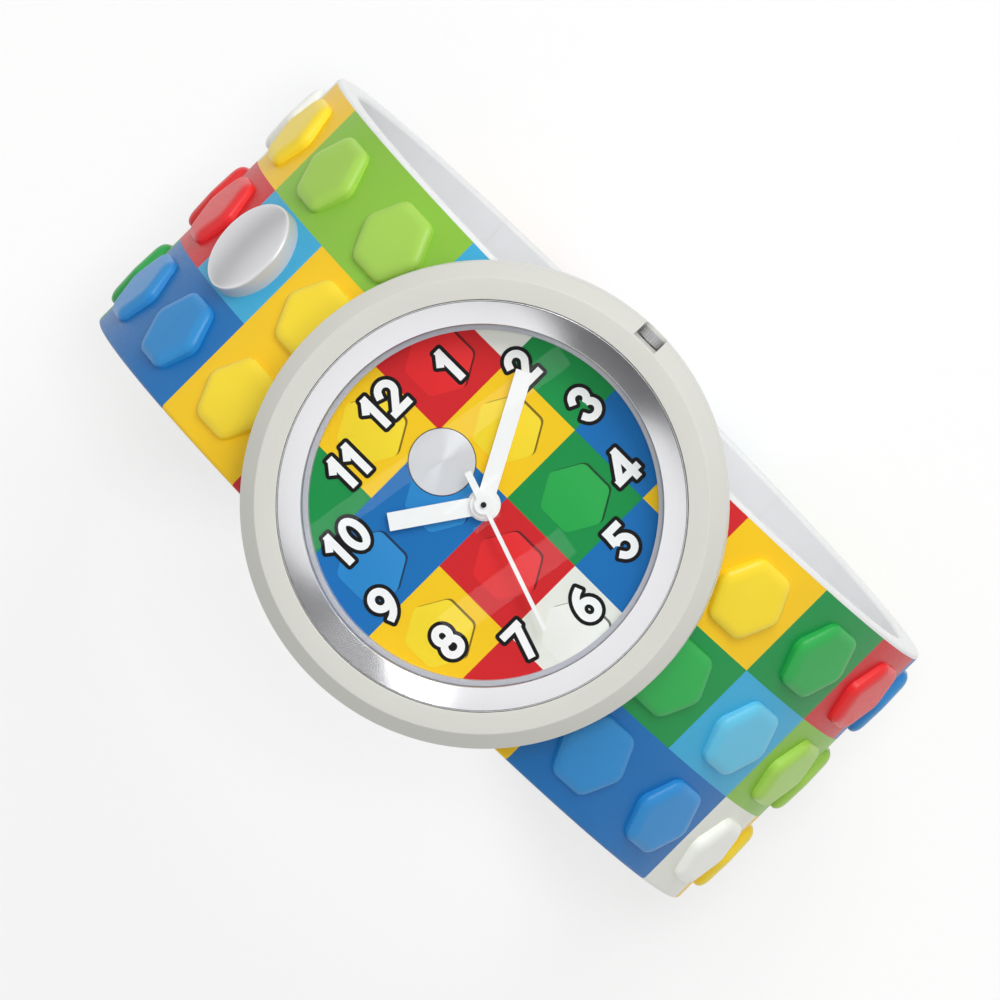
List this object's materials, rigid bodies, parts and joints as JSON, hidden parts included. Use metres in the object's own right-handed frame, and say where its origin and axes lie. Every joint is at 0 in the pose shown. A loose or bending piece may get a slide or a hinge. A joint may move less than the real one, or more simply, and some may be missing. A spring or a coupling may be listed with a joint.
{
  "type": "toy slap watch",
  "caption": "Child's analogue wristwatch with a round case on a springy silicone band that curls round the wrist and opens flat; hands, gear train and crown move.",
  "frame": {"origin": "centre of the wrist loop, midway across the band", "axes": "+X along the wrist towards 3 o'clock and the crown, +Y towards 12 o'clock, +Z out of the dial"},
  "size_m": [0.038, 0.067, 0.0769],
  "materials": {
    "print_yellow": "printed silicone",
    "print_red": "printed silicone",
    "print_green": "printed silicone",
    "print_blue": "printed silicone",
    "band_white": "silicone",
    "spring_steel": "rolled strip",
    "rivet_metal": "turned",
    "steel": "satin",
    "case_plastic": "satin moulded",
    "bezel_chrome": "polished",
    "crystal_clear": "clear",
    "black_rubber": "matt",
    "flange_grey": "satin",
    "dial_print": "printed",
    "hand_white": "satin",
    "white_plastic": "moulded",
    "brass": "satin",
    "board_green": "lacquered",
    "copper_winding": "enamelled wire",
    "black_steel": "blackened"
  },
  "bodies": {
    "case": {"case_body": "case_plastic", "bezel_ring": "bezel_chrome", "crystal": "crystal_clear", "crystal_gasket": "black_rubber", "flange_ring": "flange_grey", "case_back": "steel", "case_back_gasket": "black_rubber", "case_back_screws": "steel", "dial": "dial_print", "movement_ring": "white_plastic", "main_plate": "brass", "train_bridge": "steel", "bridge_screws": "steel", "circuit_board": "board_green", "quartz_can": "steel", "drive_coil": "copper_winding", "stator": "steel", "battery": "steel", "battery_clip": "brass", "band_middle": "band_white", "slap_spring": "spring_steel", "band_screws": "steel"},
    "tail_12_1": {"band_12_link_1": "print_red"},
    "tail_12_2": {"band_12_link_2": "print_green"},
    "tail_12_3": {"band_12_link_3": "print_blue", "rivet_cap": "rivet_metal", "rivet_washer": "rivet_metal"},
    "tail_12_4": {"band_12_link_4": "print_yellow"},
    "tail_12_5": {"band_12_link_5": "print_red"},
    "tail_12_6": {"band_12_link_6": "print_green"},
    "tail_12_7": {"band_12_link_7": "print_blue"},
    "tail_12_8": {"band_12_link_8": "print_yellow"},
    "tail_12_9": {"band_12_link_9": "print_red"},
    "tail_6_1": {"band_6_link_1": "print_red"},
    "tail_6_2": {"band_6_link_2": "print_green"},
    "tail_6_3": {"band_6_link_3": "print_blue"},
    "tail_6_4": {"band_6_link_4": "print_yellow"},
    "tail_6_5": {"band_6_link_5": "print_red"},
    "tail_6_6": {"band_6_link_6": "print_green"},
    "tail_6_7": {"band_6_link_7": "print_blue"},
    "tail_6_8": {"band_6_link_8": "print_yellow"},
    "tail_6_9": {"band_6_link_9": "print_red"},
    "seconds": {"seconds_wheel": "black_steel", "second_hand": "hand_white"},
    "minutes": {"centre_wheel": "brass", "minute_hand": "hand_white"},
    "hours": {"hour_wheel": "brass", "hour_hand": "hand_white"},
    "third": {"third_wheel": "white_plastic"},
    "intermediate": {"intermediate_wheel": "white_plastic"},
    "rotor": {"rotor": "steel"},
    "minute_work": {"minute_wheel": "white_plastic"},
    "setting": {"setting_lever": "steel"},
    "crown": {"crown": "rivet_metal", "stem": "steel", "crown_gasket": "black_rubber", "sliding_pinion": "steel"}
  },
  "joints": [
    {"name": "band_12_hinge_1", "type": "hinge", "parent": "case", "child": "tail_12_1", "pos_m": [0, 0.00526, 0.03207], "axis": [1, 0, 0], "range_deg": [0, 18.63], "stiffness_Nm_per_rad": 0.01, "springref_deg": -17.19, "deforming": ["slap_spring"]},
    {"name": "band_12_hinge_2", "type": "hinge", "parent": "tail_12_1", "child": "tail_12_2", "pos_m": [0, 0.01523, 0.02871], "axis": [1, 0, 0], "range_deg": [0, 18.63]},
    {"name": "band_12_hinge_3", "type": "hinge", "parent": "tail_12_2", "child": "tail_12_3", "pos_m": [0, 0.02361, 0.02234], "axis": [1, 0, 0], "range_deg": [0, 18.63]},
    {"name": "band_12_hinge_4", "type": "hinge", "parent": "tail_12_3", "child": "tail_12_4", "pos_m": [0, 0.02951, 0.01363], "axis": [1, 0, 0], "range_deg": [0, 18.63]},
    {"name": "band_12_hinge_5", "type": "hinge", "parent": "tail_12_4", "child": "tail_12_5", "pos_m": [0, 0.03231, 0.00349], "axis": [1, 0, 0], "range_deg": [0, 18.63]},
    {"name": "band_12_hinge_6", "type": "hinge", "parent": "tail_12_5", "child": "tail_12_6", "pos_m": [0, 0.03173, -0.00702], "axis": [1, 0, 0], "range_deg": [0, 18.63]},
    {"name": "band_12_hinge_7", "type": "hinge", "parent": "tail_12_6", "child": "tail_12_7", "pos_m": [0, 0.02783, -0.01679], "axis": [1, 0, 0], "range_deg": [0, 18.63]},
    {"name": "band_12_hinge_8", "type": "hinge", "parent": "tail_12_7", "child": "tail_12_8", "pos_m": [0, 0.021, -0.0248], "axis": [1, 0, 0], "range_deg": [0, 18.63]},
    {"name": "band_12_hinge_9", "type": "hinge", "parent": "tail_12_8", "child": "tail_12_9", "pos_m": [0, 0.01198, -0.03021], "axis": [1, 0, 0], "range_deg": [0, 18.63]},
    {"name": "band_6_hinge_1", "type": "hinge", "parent": "case", "child": "tail_6_1", "pos_m": [0, -0.00526, 0.03207], "axis": [-1, 0, 0], "range_deg": [0, 18.63], "stiffness_Nm_per_rad": 0.01, "springref_deg": -17.19, "deforming": ["slap_spring"]},
    {"name": "band_6_hinge_2", "type": "hinge", "parent": "tail_6_1", "child": "tail_6_2", "pos_m": [0, -0.01523, 0.02871], "axis": [-1, 0, 0], "range_deg": [0, 18.63]},
    {"name": "band_6_hinge_3", "type": "hinge", "parent": "tail_6_2", "child": "tail_6_3", "pos_m": [0, -0.02361, 0.02234], "axis": [-1, 0, 0], "range_deg": [0, 18.63]},
    {"name": "band_6_hinge_4", "type": "hinge", "parent": "tail_6_3", "child": "tail_6_4", "pos_m": [0, -0.02951, 0.01363], "axis": [-1, 0, 0], "range_deg": [0, 18.63]},
    {"name": "band_6_hinge_5", "type": "hinge", "parent": "tail_6_4", "child": "tail_6_5", "pos_m": [0, -0.03231, 0.00349], "axis": [-1, 0, 0], "range_deg": [0, 18.63]},
    {"name": "band_6_hinge_6", "type": "hinge", "parent": "tail_6_5", "child": "tail_6_6", "pos_m": [0, -0.03173, -0.00702], "axis": [-1, 0, 0], "range_deg": [0, 18.63]},
    {"name": "band_6_hinge_7", "type": "hinge", "parent": "tail_6_6", "child": "tail_6_7", "pos_m": [0, -0.02783, -0.01679], "axis": [-1, 0, 0], "range_deg": [0, 18.63]},
    {"name": "band_6_hinge_8", "type": "hinge", "parent": "tail_6_7", "child": "tail_6_8", "pos_m": [0, -0.021, -0.0248], "axis": [-1, 0, 0], "range_deg": [0, 18.63]},
    {"name": "band_6_hinge_9", "type": "hinge", "parent": "tail_6_8", "child": "tail_6_9", "pos_m": [0, -0.01198, -0.03021], "axis": [-1, 0, 0], "range_deg": [0, 18.63]},
    {"name": "seconds_turn", "type": "hinge", "parent": "case", "child": "seconds", "pos_m": [0, 0, 0.036], "axis": [0, 0, -1], "continuous": true},
    {"name": "minutes_turn", "type": "hinge", "parent": "case", "child": "minutes", "pos_m": [0, 0, 0.036], "axis": [0, 0, -1], "continuous": true},
    {"name": "hours_turn", "type": "hinge", "parent": "case", "child": "hours", "pos_m": [0, 0, 0.036], "axis": [0, 0, -1], "continuous": true},
    {"name": "third_turn", "type": "hinge", "parent": "case", "child": "third", "pos_m": [-0.0042, 0, 0.036], "axis": [0, 0, -1], "continuous": true},
    {"name": "intermediate_turn", "type": "hinge", "parent": "case", "child": "intermediate", "pos_m": [0.0022, 0.00381, 0.036], "axis": [0, 0, -1], "continuous": true},
    {"name": "rotor_turn", "type": "hinge", "parent": "case", "child": "rotor", "pos_m": [0.00282, 0.00613, 0.036], "axis": [0, 0, -1], "continuous": true},
    {"name": "minute_work_turn", "type": "hinge", "parent": "case", "child": "minute_work", "pos_m": [0.0025, 0, 0.036], "axis": [0, 0, -1], "continuous": true},
    {"name": "crown_pull", "type": "slide", "parent": "case", "child": "setting", "axis": [1, 0, 0], "range_m": [0, 0.0007]},
    {"name": "crown_turn", "type": "hinge", "parent": "setting", "child": "crown", "pos_m": [0.0185, 0, 0.03685], "axis": [1, 0, 0], "continuous": true}
  ],
  "couplings": [
    {"joint": "band_12_hinge_2", "follows": "band_12_hinge_1", "ratio": 1},
    {"joint": "band_12_hinge_3", "follows": "band_12_hinge_1", "ratio": 1},
    {"joint": "band_12_hinge_4", "follows": "band_12_hinge_1", "ratio": 1},
    {"joint": "band_12_hinge_5", "follows": "band_12_hinge_1", "ratio": 1},
    {"joint": "band_12_hinge_6", "follows": "band_12_hinge_1", "ratio": 1},
    {"joint": "band_12_hinge_7", "follows": "band_12_hinge_1", "ratio": 1},
    {"joint": "band_12_hinge_8", "follows": "band_12_hinge_1", "ratio": 1},
    {"joint": "band_12_hinge_9", "follows": "band_12_hinge_1", "ratio": 1},
    {"joint": "band_6_hinge_2", "follows": "band_6_hinge_1", "ratio": 1},
    {"joint": "band_6_hinge_3", "follows": "band_6_hinge_1", "ratio": 1},
    {"joint": "band_6_hinge_4", "follows": "band_6_hinge_1", "ratio": 1},
    {"joint": "band_6_hinge_5", "follows": "band_6_hinge_1", "ratio": 1},
    {"joint": "band_6_hinge_6", "follows": "band_6_hinge_1", "ratio": 1},
    {"joint": "band_6_hinge_7", "follows": "band_6_hinge_1", "ratio": 1},
    {"joint": "band_6_hinge_8", "follows": "band_6_hinge_1", "ratio": 1},
    {"joint": "band_6_hinge_9", "follows": "band_6_hinge_1", "ratio": 1},
    {"joint": "minutes_turn", "follows": "seconds_turn", "ratio": 0.016667},
    {"joint": "hours_turn", "follows": "seconds_turn", "ratio": 0.0013889},
    {"joint": "third_turn", "follows": "seconds_turn", "ratio": -0.13333},
    {"joint": "intermediate_turn", "follows": "seconds_turn", "ratio": -6},
    {"joint": "rotor_turn", "follows": "seconds_turn", "ratio": 30},
    {"joint": "minute_work_turn", "follows": "seconds_turn", "ratio": -0.0055556}
  ]
}
